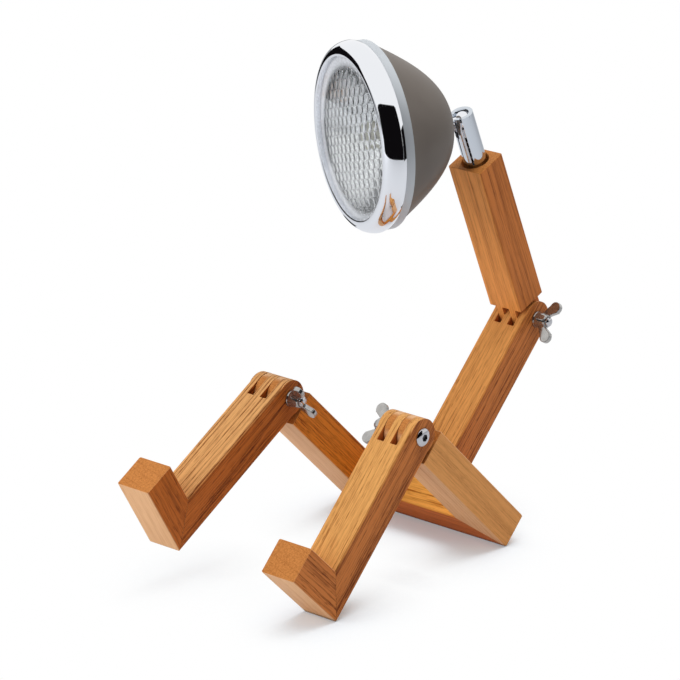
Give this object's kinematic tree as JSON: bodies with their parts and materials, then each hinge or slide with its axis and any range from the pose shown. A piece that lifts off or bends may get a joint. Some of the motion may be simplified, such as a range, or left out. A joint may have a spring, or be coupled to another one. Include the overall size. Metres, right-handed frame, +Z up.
{
  "type": "desk lamp",
  "caption": "Desk lamp shaped like a seated robot: jointed wooden bars with wing nut knees and shoulder, and a headlamp head on a ball knuckle.",
  "frame": {"origin": "centre of the bounding box, on the surface that the lamp sits on", "axes": "+X across the figure, towards its left; it faces -Y; +Z up"},
  "size_m": [0.1459, 0.2972, 0.2986],
  "materials": {
    "wood": "satin oiled, open straight grain",
    "wood_end": "satin oiled, end grain at the toes",
    "dowel": "plain beech",
    "plated_steel": "bright plated",
    "chrome": "polished",
    "brass": "turned",
    "taupe_paint": "satin taupe lacquer",
    "lens_glass": "clear, fluted and prismed on the inner face",
    "rubber": "matte",
    "reflector": "bright vaporised",
    "ceramic": "unglazed white",
    "bulb_glass": "frosted"
  },
  "bodies": {
    "seat": {"hip_crossbar": "wood", "left_thigh": "wood", "right_thigh": "wood", "torso_bar": "wood", "left_mitre_dowel": "dowel", "right_mitre_dowel": "dowel", "torso_dowel_left": "dowel", "torso_dowel_right": "dowel", "shoulder_bolt": "plated_steel"},
    "left_lower_leg": {"left_shin": "wood", "left_foot": "wood_end", "left_ankle_dowel": "dowel", "left_knee_bolt": "plated_steel"},
    "right_lower_leg": {"right_shin": "wood", "right_foot": "wood_end", "right_ankle_dowel": "dowel", "right_knee_bolt": "plated_steel"},
    "left_knee_nut": {"left_knee_wing_nut": "chrome"},
    "right_knee_nut": {"right_knee_wing_nut": "chrome"},
    "shoulder_nut": {"shoulder_wing_nut": "chrome"},
    "neck": {"neck_bar": "wood", "neck_insert": "brass", "tube_washer": "plated_steel", "tube_screw": "plated_steel"},
    "knuckle": {"knuckle_tube": "chrome", "seat_spring": "plated_steel", "ball_seat": "plated_steel"},
    "head": {"ball_stud": "chrome", "stud_lock_washer": "plated_steel", "stud_nut": "plated_steel", "head_shell": "taupe_paint", "rim_ring": "chrome", "lens": "lens_glass", "lens_gasket": "rubber", "reflector": "reflector", "clip_top": "plated_steel", "clip_left": "plated_steel", "clip_right": "plated_steel", "lamp_holder": "ceramic", "bulb": "bulb_glass", "cord_grommet": "rubber"}
  },
  "joints": [
    {"name": "left_knee", "type": "hinge", "parent": "seat", "child": "left_lower_leg", "pos_m": [-0.04423, -0.02788, 0.09051], "axis": [1, 0, 0], "range_deg": [-74.7, 20.3]},
    {"name": "right_knee", "type": "hinge", "parent": "seat", "child": "right_lower_leg", "pos_m": [0.05827, -0.02788, 0.09051], "axis": [1, 0, 0], "range_deg": [-90, 5]},
    {"name": "shoulder", "type": "hinge", "parent": "seat", "child": "neck", "pos_m": [0.00702, 0.13758, 0.10819], "axis": [1, 0, 0], "range_deg": [-66.8, 28.2]},
    {"name": "head_swivel", "type": "hinge", "parent": "neck", "child": "knuckle", "pos_m": [0.00702, 0.08351, 0.24338], "axis": [0, -0.3714, 0.9285], "range_deg": [-90, 90]},
    {"name": "head_tilt", "type": "hinge", "parent": "knuckle", "child": "head", "pos_m": [0.00702, 0.08351, 0.24338], "axis": [0.8988, -0.407, -0.1628], "range_deg": [-35, 20]},
    {"name": "left_knee_nut_turn", "type": "hinge", "parent": "left_lower_leg", "child": "left_knee_nut", "pos_m": [-0.02773, -0.02788, 0.09051], "axis": [1, 0, 0], "range_deg": [0, 180]},
    {"name": "right_knee_nut_turn", "type": "hinge", "parent": "right_lower_leg", "child": "right_knee_nut", "pos_m": [0.04177, -0.02788, 0.09051], "axis": [-1, 0, 0], "range_deg": [0, 180]},
    {"name": "shoulder_nut_turn", "type": "hinge", "parent": "seat", "child": "shoulder_nut", "pos_m": [0.02352, 0.13758, 0.10819], "axis": [1, 0, 0], "range_deg": [0, 180]}
  ]
}
